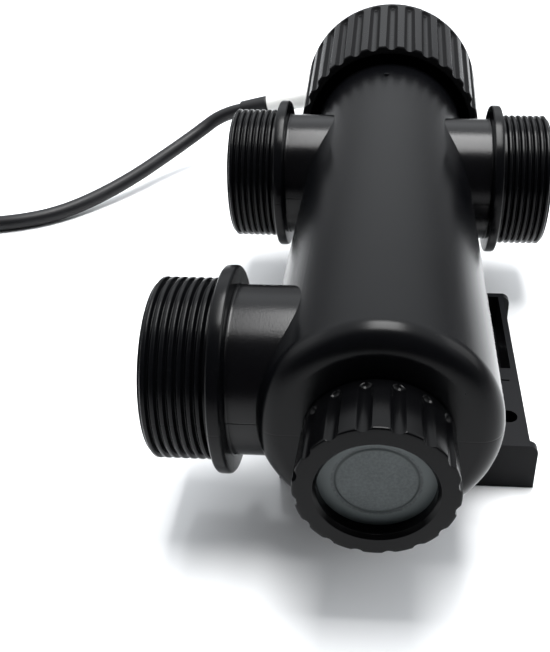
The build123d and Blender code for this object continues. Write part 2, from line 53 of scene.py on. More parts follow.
AXIS_Z_M = JOINTS["window_ring_turn"]["pos_m"][2]
NECK_FRONT = -10.4
FRONT_Y_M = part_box("housing")[0].y - NECK_FRONT * MM

TUBE_R, WALL, TUBE_END, FACE_ROUND = 31.5, 3.0, 240.0, 6.7
BORE_R = TUBE_R - WALL
PORTS = ((27.3, -1), (160.0, -1), (158.0, 1))
THREAD_R, THREAD_DEPTH, THREAD_PITCH, THREAD_TURNS = 24.9, 1.15, 2.309, 7
PORT_BORE_R, NECK_R, FLANGE_R = 19.0, 23.3, 28.5
FLANGE_IN, FLANGE_OUT, PORT_REACH = 38.9, 42.7, 60.6
MOUTH_CREST_R, MOUTH_PITCH, MOUTH_TURNS, MOUTH_START = 34.2, 4.0, 7, 209.0
NECK_CREST_R, NECK_PITCH, NECK_TURNS, NECK_BORE_R = 16.5, 2.0, 4, 12.5

RING_R, RING_FRONT, RING_BACK, RING_FLUTES = 19.65, -19.0, -0.6, 16
RING_TAPER = 0.5                                 # how much thinner the ring is at its back
RING_CUTTER_R, RING_BITE, RING_LAND = 2.2, 0.95, 3.2   # each flute's round, depth and end before the back
RING_FIRST_FLUTE = math.radians(13.05)           # turn of the first flute from the top, at rest
WINDOW_OPEN_R, WINDOW_R, WINDOW_FACE, WINDOW_THICK = 14.0, 15.7, -14.8, 2.6
WINDOW_GROOVE_R = 10.1
COLLAR_FRONT, COLLAR_BACK = 203.0, 266.2
COLLAR_FRONT_R, COLLAR_BACK_R, COLLAR_BORE_R, COLLAR_FLUTES = 39.2, 41.6, 35.0, 32
COLLAR_CUTTER_R, COLLAR_BITE, COLLAR_LAND = 2.5, 1.5, 4.5
COLLAR_LIP = (246.1, 251.0)
COLLAR_BACK_BORE_R, COLLAR_LIP_R = 36.8, 32.5

BOSSES_Y, BOSS_R, BOSS_FOOT_Z = (-23.0, 24.0), 5.0, 9.0   # in the frame, not along the tube
NUB_X, NUB_ALONG = -1.7, 189.0

GLAND_ALONG, GLAND_DROP, RELIEF_TIP = 283.0, 12.5, 81.0
CABLE_R = 3.5


# ---- mesh helpers -----------------------------------------------------------------------------
def soft(outline, radius=0.5, steps=3):
    """Round every corner of a closed outline; a point's third number is its own radius."""
    rounded = []
    for before, here, after in zip(outline[-1:] + outline[:-1], outline, outline[1:] + outline[:1]):
        corner, size = Vector(here[:2]), here[2] if len(here) > 2 else radius
        back, ahead = Vector(before[:2]) - corner, Vector(after[:2]) - corner
        size = min(size, 0.45 * back.length, 0.45 * ahead.length)
        if here[0] == 0 or size < 0.02:
            rounded.append(tuple(corner))
            continue
        start, end = corner + back.normalized() * size, corner + ahead.normalized() * size
        for step in range(steps + 1):
            t = step / steps
            rounded.append(tuple(start * (1 - t) ** 2 + corner * 2 * t * (1 - t) + end * t ** 2))
    return rounded


def ridges(crest, depth, pitch, start, turns):
    """Outline points of a row of thread ridges, going along +Y."""
    points = []
    for turn in range(turns):
        base = start + turn * pitch
        points += [(crest - depth, base + 0.1 * pitch), (crest, base + 0.36 * pitch),
                   (crest, base + 0.74 * pitch), (crest - depth, base + 1.0 * pitch)]
    return points


def turned(outline, steps=144):
    """Turn a closed outline of (radius, along) points about the Y axis."""
    bm = bmesh.new()
    verts = [bm.verts.new((radius, along, 0)) for radius, along in outline]
    for start, end in zip(verts, verts[1:] + verts[:1]):
        if start.co.x or end.co.x:
            bm.edges.new((start, end))
    bmesh.ops.spin(bm, geom=bm.verts[:] + bm.edges[:], cent=(0, 0, 0), axis=(0, 1, 0),
                   angle=math.tau, steps=steps, use_merge=True)
    bmesh.ops.remove_doubles(bm, verts=bm.verts, dist=0.0005)
    bmesh.ops.recalc_face_normals(bm, faces=bm.faces)
    return bm


ON_TUBE = Matrix.Translation((0, FRONT_Y_M, AXIS_Z_M)) @ Matrix.Scale(MM, 4)


def on_port(along, side):
    """The place of a shape made about the Y axis on a spigot."""
    return (Matrix.Translation((0, along, 0)) @ Matrix.Rotation(-side * math.pi / 2, 4, "Z"))


def mesh_object(bm, name, place=Matrix.Identity(4)):
    """Make an object from a bmesh, with its place in its mesh."""
    bm.transform(place)
    mesh = bpy.data.meshes.new(name)
    bm.to_mesh(mesh)
    bm.free()
    piece = bpy.data.objects.new(name, mesh)
    bpy.context.scene.collection.objects.link(piece)
    return piece


def apply_modifiers(piece):
    """Keep the evaluated mesh and drop the modifiers."""
    bpy.context.view_layer.update()
    made = bpy.data.meshes.new_from_object(piece.evaluated_get(bpy.context.evaluated_depsgraph_get()))
    made.name = piece.name
    piece.modifiers.clear()
    piece.data = made


def boolean(piece, tool, operation):
    """Join a solid to a piece, or cut it away, and remove the tool."""
    cut = piece.modifiers.new("cut", "BOOLEAN")
    cut.operation, cut.solver, cut.object = operation, "EXACT", tool
    apply_modifiers(piece)
    bpy.data.objects.remove(tool)


def shade(piece, angle=32):
    """Smooth shading that keeps hard corners and flat faces."""
    bm = bmesh.new()
    bm.from_mesh(piece.data)
    for face in bm.faces:
        face.smooth = True
    for edge in bm.edges:
        edge.smooth = not edge.is_manifold or edge.calc_face_angle(0) < math.radians(angle)
    bm.to_mesh(piece.data)
    bm.free()
    weighted = piece.modifiers.new("flat faces stay flat", "WEIGHTED_NORMAL")
    weighted.keep_sharp = True


def finish_piece(piece, body, material, *nodes):
    """Give a piece its body, its material and the CAD nodes it stands for."""
    if material:
        piece.data.materials.clear()
        piece.data.materials.append(material)
    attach(piece, body)
    if nodes:
        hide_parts(*nodes)
    return piece


def softened(node, body, material, width=0.35, segments=2, angle=32):
    """A copy of a CAD node with its sharp edges eased."""
    bm = bmesh.new()
    bm.from_mesh(frame["nodes"][node].data)
    bm.transform(Matrix.Scale(1 / MM, 4))
    bmesh.ops.remove_doubles(bm, verts=bm.verts, dist=0.002)
    bmesh.ops.dissolve_degenerate(bm, dist=0.002, edges=bm.edges)
    bmesh.ops.dissolve_limit(bm, angle_limit=math.radians(0.6), verts=bm.verts, edges=bm.edges)
    sharp = [edge for edge in bm.edges
             if edge.is_manifold and edge.calc_face_angle(0) > math.radians(angle)]
    bmesh.ops.bevel(bm, geom=sharp, offset=width, offset_type="OFFSET", segments=segments,
                    profile=0.5, affect="EDGES", clamp_overlap=True, material=-1)
    bmesh.ops.remove_doubles(bm, verts=bm.verts, dist=0.002)
    piece = mesh_object(bm, node + "_eased", Matrix.Scale(MM, 4))
    shade(piece, 40)
    return finish_piece(piece, body, material, node)


# ---- node helpers -----------------------------------------------------------------------------
class Nodes:
    """Short words for building a node tree."""

    def __init__(self, tree):
        self.tree = tree

    def add(self, kind, inputs=None, **settings):
        node = self.tree.nodes.new(kind)
        for name, value in settings.items():
            setattr(node, name, value)
        for name, value in (inputs or {}).items():
            if isinstance(value, bpy.types.NodeSocket):
                self.tree.links.new(value, node.inputs[name])
            else:
                node.inputs[name].default_value = value
        return node

    def math(self, operation, first, second=0.0, third=0.0, clamp=False):
        node = self.add("ShaderNodeMath", {0: first, 1: second, 2: third}, operation=operation)
        node.use_clamp = clamp
        return node.outputs[0]

    def ramp(self, value, low, high, to_low=0.0, to_high=1.0):
        node = self.add("ShaderNodeMapRange", {"Value": value, "From Min": low, "From Max": high,
                                               "To Min": to_low, "To Max": to_high})
        node.interpolation_type = "SMOOTHSTEP"
        return node.outputs["Result"]

    def noise(self, vector, scale, detail=3.0, roughness=0.5):
        node = self.add("ShaderNodeTexNoise", {"Vector": vector, "Scale": scale, "Detail": detail,
                                               "Roughness": roughness})
        return node.outputs["Fac"]

    def mix(self, share, first, second):
        node = self.add("ShaderNodeMix", data_type="RGBA")
        for socket, value in ((node.inputs[0], share), (node.inputs[6], first), (node.inputs[7], second)):
            if isinstance(value, bpy.types.NodeSocket):
                self.tree.links.new(value, socket)
            else:
                socket.default_value = value
        return node.outputs[2]


def group(name, inputs, outputs):
    """An empty node group: {name: (kind, default)} in, {name: kind} out."""
    tree = bpy.data.node_groups.new(name, "ShaderNodeTree")
    for label, (kind, default) in inputs.items():
        socket = tree.interface.new_socket(label, in_out="INPUT", socket_type="NodeSocket" + kind)
        if default is not None:
            socket.default_value = default
    for label, kind in outputs.items():
        tree.interface.new_socket(label, in_out="OUTPUT", socket_type="NodeSocket" + kind)
    return tree, Nodes(tree), tree.nodes.new("NodeGroupInput"), tree.nodes.new("NodeGroupOutput")


def moulded_skin():
    """Injection-moulded surface: colour mottle, roughness patches, and a fine grain height."""
    tree, n, given, out = group(
        "moulded skin",
        {"Place": ("Vector", None), "Colour": ("Color", (0.02, 0.02, 0.02, 1)),
         "Roughness": ("Float", 0.4), "Grain per metre": ("Float", 3000.0),
         "Grain depth": ("Float", 0.5), "Patchiness": ("Float", 0.06)},
        {"Colour": "Color", "Roughness": "Float", "Height": "Float"})
    place = given.outputs["Place"]
    patches = n.noise(place, 22.0, 4.0, 0.6)
    flow = n.add("ShaderNodeMapping", {"Vector": place, "Scale": (60, 9, 60)})
    streaks = n.noise(flow.outputs[0], 1.0, 3.0)
    grain = n.noise(place, given.outputs["Grain per metre"], 2.0, 0.6)
    uneven = n.math("ADD", n.math("SUBTRACT", patches, 0.5),
                    n.math("MULTIPLY", n.math("SUBTRACT", streaks, 0.5), 0.6))
    rough = n.math("MULTIPLY_ADD", uneven, given.outputs["Patchiness"], given.outputs["Roughness"])
    rough = n.math("MULTIPLY_ADD", n.math("SUBTRACT", grain, 0.5),
                   n.math("MULTIPLY", given.outputs["Grain depth"], 0.12), rough, clamp=True)
    lighter = n.mix(0.08, given.outputs["Colour"], (0.03, 0.032, 0.036, 1))
    colour = n.mix(n.ramp(patches, 0.35, 0.75, 0.0, 0.35), given.outputs["Colour"], lighter)
    tree.links.new(colour, out.inputs["Colour"])
    tree.links.new(rough, out.inputs["Roughness"])
    height = n.math("MULTIPLY", grain, given.outputs["Grain depth"])
    tree.links.new(height, out.inputs["Height"])
    return tree


def handling_marks():
    """Dust specks and rubbed streaks as one mask."""
    tree, n, given, out = group(
        "handling marks", {"Place": ("Vector", None), "Amount": ("Float", 0.5)},
        {"Mask": "Float"})
    place = given.outputs["Place"]
    specks = n.add("ShaderNodeTexVoronoi", {"Vector": place, "Scale": 420.0}, feature="F1")
    dots = n.ramp(specks.outputs["Distance"], 0.10, 0.03)
    thinned = n.math("MULTIPLY", dots, n.ramp(n.noise(place, 60.0, 2.0), 0.55, 0.7))
    rubbed = n.ramp(n.noise(n.add("ShaderNodeMapping", {"Vector": place, "Scale": (30, 220, 90)}
                                  ).outputs[0], 1.0, 5.0, 0.7), 0.62, 0.8, 0.0, 0.5)
    both = n.math("MAXIMUM", thinned, rubbed)
    tree.links.new(n.math("MULTIPLY", both, given.outputs["Amount"], clamp=True), out.inputs["Mask"])
    return tree


def parting_line():
    """A thin line where the two halves of a mould met, at one height."""
    tree, n, given, out = group(
        "parting line", {"Place": ("Vector", None), "Height of line": ("Float", 0.0),
                         "Width": ("Float", 0.0002)}, {"Mask": "Float"})
    height = n.add("ShaderNodeSeparateXYZ", {0: given.outputs["Place"]}).outputs["Z"]
    away = n.math("ABSOLUTE", n.math("SUBTRACT", height, given.outputs["Height of line"]))
    near = n.math("SUBTRACT", 1.0, n.math("DIVIDE", away, given.outputs["Width"]), clamp=True)
    tree.links.new(near, out.inputs["Mask"])
    return tree


def flute_walls():
    """Where a cap's surface turns away from its radius: the sides of its flutes."""
    tree, n, given, out = group(
        "flute walls", {"Place": ("Vector", None), "Facing": ("Vector", None)}, {"Mask": "Float"})
    place = n.add("ShaderNodeSeparateXYZ", {0: given.outputs["Place"]})
    outward = n.add("ShaderNodeCombineXYZ", {
        "X": place.outputs["X"], "Z": n.math("SUBTRACT", place.outputs["Z"], AXIS_Z_M)}).outputs[0]
    radial = n.add("ShaderNodeVectorMath", {0: outward}, operation="NORMALIZE").outputs[0]
    agree = n.add("ShaderNodeVectorMath", {0: radial, 1: given.outputs["Facing"]},
                  operation="DOT_PRODUCT").outputs["Value"]
    tree.links.new(n.ramp(agree, 0.97, 0.82), out.inputs["Mask"])
    return tree


SKIN, MARKS, PARTING, WALLS = moulded_skin(), handling_marks(), parting_line(), flute_walls()


def new_material(name):
    """A material with its shader, its object coordinates and short words for nodes."""
    material = bpy.data.materials.new(name)
    material.use_nodes = True
    n = Nodes(material.node_tree)
    shader = material.node_tree.nodes["Principled BSDF"]
    place = n.add("ShaderNodeTexCoord").outputs["Object"]
    return material, n, shader, place


def bump(n, shader, height, strength, distance_mm):
    """Send a height to the shader's normal."""
    node = n.add("ShaderNodeBump", {"Height": height, "Strength": strength,
                                    "Distance": distance_mm * MM})
    n.tree.links.new(node.outputs["Normal"], shader.inputs["Normal"])


def plastic(name, colour, roughness, grain=3200.0, depth=0.5, patchy=0.07, marks=0.35,
            specular=0.5, parted=False, dull_walls=False, bump_mm=0.02):
    """Moulded plastic with grain, patchy sheen, marks, and maybe a parting line or dull flute walls."""
    material, n, shader, place = new_material(name)
    skin = n.add("ShaderNodeGroup", node_tree=SKIN)
    for label, value in (("Colour", (*colour, 1)), ("Roughness", roughness),
                         ("Grain per metre", grain), ("Grain depth", depth), ("Patchiness", patchy)):
        skin.inputs[label].default_value = value
    n.tree.links.new(place, skin.inputs["Place"])
    worn = n.add("ShaderNodeGroup", {"Place": place, "Amount": marks}, node_tree=MARKS).outputs[0]
    dusty = n.mix(n.math("MULTIPLY", worn, 0.22), skin.outputs["Colour"], (0.06, 0.063, 0.066, 1))
    height = skin.outputs["Height"]
    if parted:
        line = n.add("ShaderNodeGroup", {"Place": place, "Height of line": AXIS_Z_M,
                                         "Width": 0.00028}, node_tree=PARTING).outputs[0]
        dusty = n.mix(line, dusty, (0.0, 0.0, 0.0, 1))
        height = n.math("SUBTRACT", height, n.math("MULTIPLY", line, 4.0))
    n.tree.links.new(dusty, shader.inputs["Base Color"])
    rough = n.math("MULTIPLY_ADD", worn, 0.25, skin.outputs["Roughness"], clamp=True)
    if dull_walls:
        facing = n.add("ShaderNodeTexCoord").outputs["Normal"]
        wall = n.add("ShaderNodeGroup", {"Place": place, "Facing": facing}, node_tree=WALLS).outputs[0]
        rough = n.math("MULTIPLY_ADD", wall, 0.6, rough, clamp=True)
    n.tree.links.new(rough, shader.inputs["Roughness"])
    shader.inputs["Specular IOR Level"].default_value = specular
    bump(n, shader, height, 0.55, bump_mm)
    return material


def rubber(name, colour, roughness):
    """Matt rubber with a chalky bloom and a fine pitted skin."""
    material, n, shader, place = new_material(name)
    pits = n.noise(place, 1800.0, 4.0, 0.7)
    bloom = n.ramp(n.noise(place, 70.0, 5.0, 0.65), 0.4, 0.75, 0.0, 0.5)
    shade_mix = n.mix(bloom, (*colour, 1), tuple(min(1, 2.0 * c + 0.004) for c in colour) + (1,))
    n.tree.links.new(shade_mix, shader.inputs["Base Color"])
    rough = n.math("MULTIPLY_ADD", bloom, 0.14, n.math("MULTIPLY_ADD", pits, 0.08, roughness - 0.04))
    n.tree.links.new(rough, shader.inputs["Roughness"])
    shader.inputs["Specular IOR Level"].default_value = 0.25
    bump(n, shader, pits, 0.35, 0.03)
    return material


def metal(name, colour, roughness):
    """Metal with fine drawn lines and dull patches."""
    material, n, shader, place = new_material(name)
    lines = n.noise(n.add("ShaderNodeMapping", {"Vector": place, "Scale": (900, 60, 900)}).outputs[0],
                    1.0, 4.0)
    dull = n.ramp(n.noise(place, 160.0, 4.0), 0.45, 0.75)
    duller = tuple(0.55 * channel for channel in colour)
    colour_mix = n.mix(n.math("MULTIPLY", dull, 0.5), (*colour, 1), (*duller, 1))
    n.tree.links.new(colour_mix, shader.inputs["Base Color"])
    rough = n.math("ADD", n.math("MULTIPLY_ADD", lines, 0.18, roughness - 0.06),
                   n.math("MULTIPLY", dull, 0.16))
    n.tree.links.new(rough, shader.inputs["Roughness"])
    shader.inputs["Metallic"].default_value = 1.0
    bump(n, shader, lines, 0.25, 0.01)
    return material


def clear_glass(name, tint, roughness):
    """Clear drawn glass with faint draw lines along its length."""
    material, n, shader, place = new_material(name)
    lines = n.noise(n.add("ShaderNodeMapping", {"Vector": place, "Scale": (700, 14, 700)}).outputs[0],
                    1.0, 3.0)
    n.tree.links.new(n.mix(n.math("MULTIPLY", lines, 0.25), (*tint, 1), (0.82, 0.86, 0.88, 1)),
                     shader.inputs["Base Color"])
    n.tree.links.new(n.math("MULTIPLY_ADD", lines, 0.05, roughness), shader.inputs["Roughness"])
    shader.inputs["Transmission Weight"].default_value = 1.0
    shader.inputs["IOR"].default_value = 1.46
    bump(n, shader, lines, 0.12, 0.02)
    return material


def frosted_window():
    """Etched grey-green disc: mottled frost, a smoother rim and a rough dark turned groove."""
    material, n, shader, place = new_material("frosted window")
    local = n.add("ShaderNodeMapping", {"Vector": place,
                                        "Location": (0, -FRONT_Y_M, -AXIS_Z_M)}).outputs[0]
    xyz = n.add("ShaderNodeSeparateXYZ", {0: local})
    flat = n.add("ShaderNodeCombineXYZ", {"X": xyz.outputs["X"], "Z": xyz.outputs["Z"]}).outputs[0]
    radius = n.add("ShaderNodeVectorMath", {0: flat}, operation="LENGTH").outputs["Value"]
    frost, mottle = n.noise(place, 3600.0, 4.0, 0.75), n.noise(place, 1300.0, 3.0, 0.65)
    cloud = n.noise(place, 110.0, 4.0, 0.6)
    ragged = n.math("MULTIPLY_ADD", n.math("SUBTRACT", mottle, 0.5), 0.0014, radius)
    from_groove = n.math("ABSOLUTE", n.math("SUBTRACT", ragged, WINDOW_GROOVE_R * MM))
    groove = n.ramp(from_groove, 0.0008, 0.0002, 0.0, 0.75)
    rim = n.ramp(radius, (WINDOW_GROOVE_R + 0.3) * MM, (WINDOW_GROOVE_R + 1.0) * MM)
    inner = n.math("ADD", n.ramp(mottle, 0.35, 0.68, 0.0, 0.6), n.ramp(cloud, 0.3, 0.8, 0.0, 0.4))
    tone = n.add("ShaderNodeMix", {0: rim, 2: inner, 3: 0.75}).outputs[0]
    colour = n.mix(tone, (0.029, 0.037, 0.039, 1), (0.060, 0.073, 0.074, 1))
    colour = n.mix(groove, colour, (0.015, 0.021, 0.022, 1))
    sparkle = n.math("MULTIPLY", n.ramp(frost, 0.60, 0.72, 0.0, 0.5), n.math("SUBTRACT", 1.0, rim))
    n.tree.links.new(n.mix(sparkle, colour, (0.12, 0.135, 0.135, 1)), shader.inputs["Base Color"])
    n.tree.links.new(n.ramp(frost, 0.3, 0.7, 0.42, 0.6), shader.inputs["Roughness"])
    shader.inputs["Transmission Weight"].default_value = 0.08
    shader.inputs["Specular IOR Level"].default_value = 0.35
    bump(n, shader, n.math("ADD", frost, mottle), 0.45, 0.03)
    return material


def circuit_board():
    """Green solder mask over copper tracks, with tinned pads."""
    material, n, shader, place = new_material("circuit board")
    turned_place = n.add("ShaderNodeMapping", {"Vector": place, "Scale": (260, 1, 260)}).outputs[0]
    tracks = n.add("ShaderNodeTexBrick", {"Vector": turned_place, "Scale": 1.0, "Mortar Size": 0.06,
                                          "Brick Width": 0.9, "Row Height": 0.35})
    pads = n.add("ShaderNodeTexVoronoi", {"Vector": place, "Scale": 190.0}, feature="F1")
    spot = n.ramp(pads.outputs["Distance"], 0.20, 0.16)
    green = n.mix(tracks.outputs["Fac"], (0.010, 0.080, 0.035, 1), (0.030, 0.160, 0.070, 1))
    n.tree.links.new(n.mix(spot, green, (0.62, 0.62, 0.60, 1)), shader.inputs["Base Color"])
    n.tree.links.new(spot, shader.inputs["Metallic"])
    n.tree.links.new(n.ramp(n.noise(place, 300.0, 3.0), 0.3, 0.7, 0.28, 0.42), shader.inputs["Roughness"])
    bump(n, shader, n.math("ADD", tracks.outputs["Fac"], spot), 0.3, 0.03)
    return material


def component_bodies():
    """Dark moulded and sleeved electrical parts, each patch a little different."""
    material, n, shader, place = new_material("component bodies")
    cells = n.add("ShaderNodeTexVoronoi", {"Vector": place, "Scale": 70.0}, feature="F1")
    tone = n.add("ShaderNodeSeparateXYZ", {0: cells.outputs["Color"]}).outputs["X"]
    n.tree.links.new(n.mix(tone, (0.02, 0.022, 0.03, 1), (0.06, 0.09, 0.22, 1)),
                     shader.inputs["Base Color"])
    n.tree.links.new(n.ramp(n.noise(place, 900.0, 3.0), 0.3, 0.7, 0.3, 0.55), shader.inputs["Roughness"])
    bump(n, shader, n.noise(place, 1500.0, 2.0), 0.3, 0.02)
    return material


TUBE_BLACK = plastic("tube black", (0.0012, 0.0013, 0.0017), 0.22, depth=0.35, specular=0.11,
                     parted=True)
NECK_BLACK = plastic("neck spark grain", (0.0012, 0.0012, 0.0016), 0.21, grain=2300.0, depth=1.0,
                     specular=0.18, bump_mm=0.05, parted=True)
THREAD_BLACK = plastic("thread black", (0.0006, 0.0006, 0.0010), 0.26, depth=0.4, specular=0.04)
RING_BLACK = plastic("ring black", (0.0010, 0.0010, 0.0012), 0.20, depth=0.25, patchy=0.05,
                     specular=0.09)
COLLAR_BLACK = plastic("collar black", (0.0014, 0.0014, 0.0018), 0.26, depth=0.3, specular=0.11,
                       dull_walls=True)
BRACKET_BLACK = plastic("bracket black", (0.0024, 0.0026, 0.0034), 0.40, grain=1900.0, depth=0.9,
                        specular=0.10, bump_mm=0.04)
HEAD_BLACK = plastic("head black", (0.0020, 0.0020, 0.0026), 0.34, depth=0.5, specular=0.12)
# Flat near-white colour for the gland body, locknut and nut; what the real gland is made of is not known.
GLAND_WHITE = plastic("gland near-white", (0.80, 0.80, 0.78), 0.35, depth=0.3, marks=0.1)
GREY_PLASTIC = plastic("grey nylon", (0.16, 0.165, 0.17), 0.5, depth=0.5)
WHITE_PLASTIC = plastic("white heatproof plastic", (0.72, 0.71, 0.66), 0.38, marks=0.2)
LEAD_PLASTIC = plastic("white lead sleeve", (0.70, 0.70, 0.68), 0.42, marks=0.1)
SEAL_RUBBER = rubber("seal rubber", (0.012, 0.012, 0.012), 0.55)
BOOT_RUBBER = rubber("boot rubber", (0.0045, 0.0045, 0.0055), 0.50)
SHEATH_RUBBER = rubber("cable sheath", (0.0045, 0.0045, 0.0055), 0.44)
PLUG_RUBBER = rubber("plug rubber", (0.012, 0.012, 0.013), 0.5)
STEEL = metal("stainless steel", (0.62, 0.61, 0.60), 0.30)
BRASS = metal("plated brass", (0.72, 0.66, 0.48), 0.26)
QUARTZ = clear_glass("sleeve quartz", (0.97, 0.98, 0.99), 0.03)
LAMP_QUARTZ = clear_glass("lamp quartz", (0.95, 0.97, 0.99), 0.06)
WINDOW = frosted_window()
BOARD, COMPONENTS = circuit_board(), component_bodies()


# ---- housing ----------------------------------------------------------------------------------
def spigot_outline():
    """Neck, flange with rounded rim, and the pipe thread; solid to its own axis."""
    core = THREAD_R - THREAD_DEPTH
    thread = [(radius, along, 0.24) for radius, along in
              ridges(THREAD_R, THREAD_DEPTH, THREAD_PITCH, FLANGE_OUT + 1.25, THREAD_TURNS)]
    return soft([
        (0, TUBE_R - 14), (NECK_R, TUBE_R - 14), (NECK_R, FLANGE_IN, 0.8), (FLANGE_R, FLANGE_IN, 1.1),
        (FLANGE_R, FLANGE_OUT, 1.1), (core, FLANGE_OUT, 0.2), *thread, (core, PORT_REACH, 0.5),
        (PORT_BORE_R + 0.1, PORT_REACH, 0.0), (0, PORT_REACH)], steps=3)


def tube_outline():
    """Outside of the tube with the window neck and the collar's thread, solid to the axis."""
    neck = [(radius, along, 0.3) for radius, along in
            ridges(NECK_CREST_R, 0.6, NECK_PITCH, NECK_FRONT + 0.4, NECK_TURNS)]
    mouth = [(radius, along, 0.6) for radius, along in
             ridges(MOUTH_CREST_R, 1.2, MOUTH_PITCH, MOUTH_START, MOUTH_TURNS)]
    front_arc = [(TUBE_R - FACE_ROUND + FACE_ROUND * math.sin(turn), FACE_ROUND * (1 - math.cos(turn)), 0)
                 for turn in (math.radians(9 * step) for step in range(11))]
    return soft([
        (0, NECK_FRONT), (NECK_CREST_R - 0.6, NECK_FRONT, 0.3), *neck, (NECK_CREST_R - 0.6, 0, 0.3),
        *front_arc, (TUBE_R, MOUTH_START - 3, 0.8), (MOUTH_CREST_R - 1.2, MOUTH_START - 1, 0.5), *mouth,
        (MOUTH_CREST_R - 1.2, TUBE_END, 0.5), (0, TUBE_END)], steps=2)


def chamber_outline():
    """Inside of the tube and of the window neck."""
    return soft([
        (0, NECK_FRONT - 1), (NECK_BORE_R, NECK_FRONT - 1, 0), (NECK_BORE_R, WALL, 0.5),
        (BORE_R, WALL, 4.0), (BORE_R, TUBE_END + 1, 0), (0, TUBE_END + 1)])


def ease_neck_roots(piece):
    """Round the corner where each spigot's neck meets the tube."""
    bm = bmesh.new()
    bm.from_mesh(piece.data)
    roots = []
    for edge in bm.edges:
        if not edge.is_manifold or edge.calc_face_angle(0) < math.radians(8):
            continue
        on_both = all(
            abs(math.hypot(vert.co.x, vert.co.z) - TUBE_R) < 0.12
            and any(abs(math.hypot(vert.co.y - along, vert.co.z) - NECK_R) < 0.12 and vert.co.x * side > 0
                    for along, side in PORTS)
            for vert in edge.verts)
        if on_both:
            roots.append(edge)
    bmesh.ops.bevel(bm, geom=roots, offset=1.1, offset_type="OFFSET", segments=3, profile=0.5,
                    affect="EDGES", clamp_overlap=True, material=-1)
    bm.to_mesh(piece.data)
    bm.free()


def paint_housing(piece):
    """Spark-grained necks, plain threads, satin tube."""
    for material in (TUBE_BLACK, NECK_BLACK, THREAD_BLACK):
        piece.data.materials.append(material)
    for face in piece.data.polygons:
        out, along, up = face.center.x, face.center.y, face.center.z
        for port_along, side in PORTS:
            reach = math.hypot(along - port_along, up)
            if out * side > 24 and reach < NECK_R + 0.3 and math.hypot(out, up) > TUBE_R + 0.1:
                face.material_index = 1 if abs(out) < FLANGE_IN - 0.2 else 2


def bosses_and_nub():
    """Two screw bosses under the tube and the small gate nub on top."""
    bm = bmesh.new()
    low, high = BOSS_FOOT_Z - AXIS_Z_M / MM, -BORE_R - 1
    for boss_y in BOSSES_Y:
        along = boss_y - FRONT_Y_M / MM
        bmesh.ops.create_cone(bm, cap_ends=True, segments=48, radius1=BOSS_R, radius2=BOSS_R,
                              depth=high - low,
                              matrix=Matrix.Translation((0, along, (low + high) / 2)))
    bmesh.ops.create_cone(bm, cap_ends=True, segments=24, radius1=1.5, radius2=1.1, depth=1.6,
                          matrix=Matrix.Translation((NUB_X, NUB_ALONG, TUBE_R - 0.2)))
    return mesh_object(bm, "bosses_and_nub")


def housing():
    """Tube, spigots and bosses joined, then hollowed and bored."""
    piece = mesh_object(turned(tube_outline(), 160), "housing_moulding")
    for along, side in PORTS:
        boolean(piece, mesh_object(turned(spigot_outline(), 128), "spigot", on_port(along, side)), "UNION")
    boolean(piece, bosses_and_nub(), "UNION")
    boolean(piece, mesh_object(turned(chamber_outline(), 128), "chamber"), "DIFFERENCE")
    bore = soft([(0, BORE_R - 16), (PORT_BORE_R, BORE_R - 16, 0), (PORT_BORE_R, PORT_REACH - 0.6, 0),
                 (PORT_BORE_R + 0.9, PORT_REACH + 1, 0), (0, PORT_REACH + 1)])
    for along, side in PORTS:
        boolean(piece, mesh_object(turned(bore, 96), "bore", on_port(along, side)), "DIFFERENCE")
    ease_neck_roots(piece)
    paint_housing(piece)
    piece.data.transform(ON_TUBE)
    shade(piece)
    return finish_piece(piece, "housing", None, "housing")


# ---- fluted caps ------------------------------------------------------------------------------
def cut_flutes(bm, count, phase, cutter_r, bite, ball_at, radius_at):
    """Press round-bottomed flutes into a turned cap; phase is the first one's turn from the top."""
    pitch = math.tau / count
    for vert in bm.verts:
        radius, along = math.hypot(vert.co.x, vert.co.z), vert.co.y
        off = (((math.atan2(vert.co.x, vert.co.z) - phase) / pitch + 0.5) % 1 - 0.5) * pitch
        centre = radius_at(along) + cutter_r - bite
        reach = cutter_r ** 2 - max(0.0, along - ball_at) ** 2 - (centre * math.sin(off)) ** 2
        if reach > 0:
            limit = centre * math.cos(off) - math.sqrt(reach)
            if radius > limit:
                vert.co.x *= limit / radius
                vert.co.z *= limit / radius


def stretch(start, end, radius_at, step):
    """Evenly spaced (radius, along, no rounding) points on a cap's outside."""
    count = max(1, round(abs(end - start) / step))
    return [(radius_at(start + (end - start) * i / count), start + (end - start) * i / count, 0)
            for i in range(count + 1)]


def window_ring():
    """Fluted ring with a lip over the disc and a plain bore over the neck's thread."""
    lip, bore = WINDOW_FACE - 0.1, NECK_CREST_R + 0.5

    def radius_at(along):
        return RING_R - RING_TAPER * (along - RING_FRONT) / (RING_BACK - RING_FRONT)

    ball_at = RING_BACK - RING_LAND
    outline = soft([
        (WINDOW_OPEN_R + 0.9, RING_FRONT, 0.15), (RING_R - 1.6, RING_FRONT, 0),
        (RING_R, RING_FRONT, 0.75), *stretch(RING_FRONT + 1.5, ball_at - 0.5, radius_at, 1.5),
        *stretch(ball_at - 0.3, RING_BACK - 1.0, radius_at, 0.2),
        (radius_at(RING_BACK), RING_BACK, 0.5),
        (bore, RING_BACK, 0.3), (bore, NECK_FRONT - 0.5, 0.1), (WINDOW_R + 0.4, NECK_FRONT - 0.5, 0.1),
        (WINDOW_R + 0.4, lip, 0.1), (WINDOW_OPEN_R, lip, 0.15), (WINDOW_OPEN_R, RING_FRONT + 1.1, 0.15)],
        steps=5)
    bm = turned(outline, RING_FLUTES * 28)
    cut_flutes(bm, RING_FLUTES, RING_FIRST_FLUTE, RING_CUTTER_R, RING_BITE, ball_at, radius_at)
    piece = mesh_object(bm, "window_ring_fluted", ON_TUBE)
    shade(piece, 40)
    return finish_piece(piece, "window_ring", RING_BLACK, "window_ring")


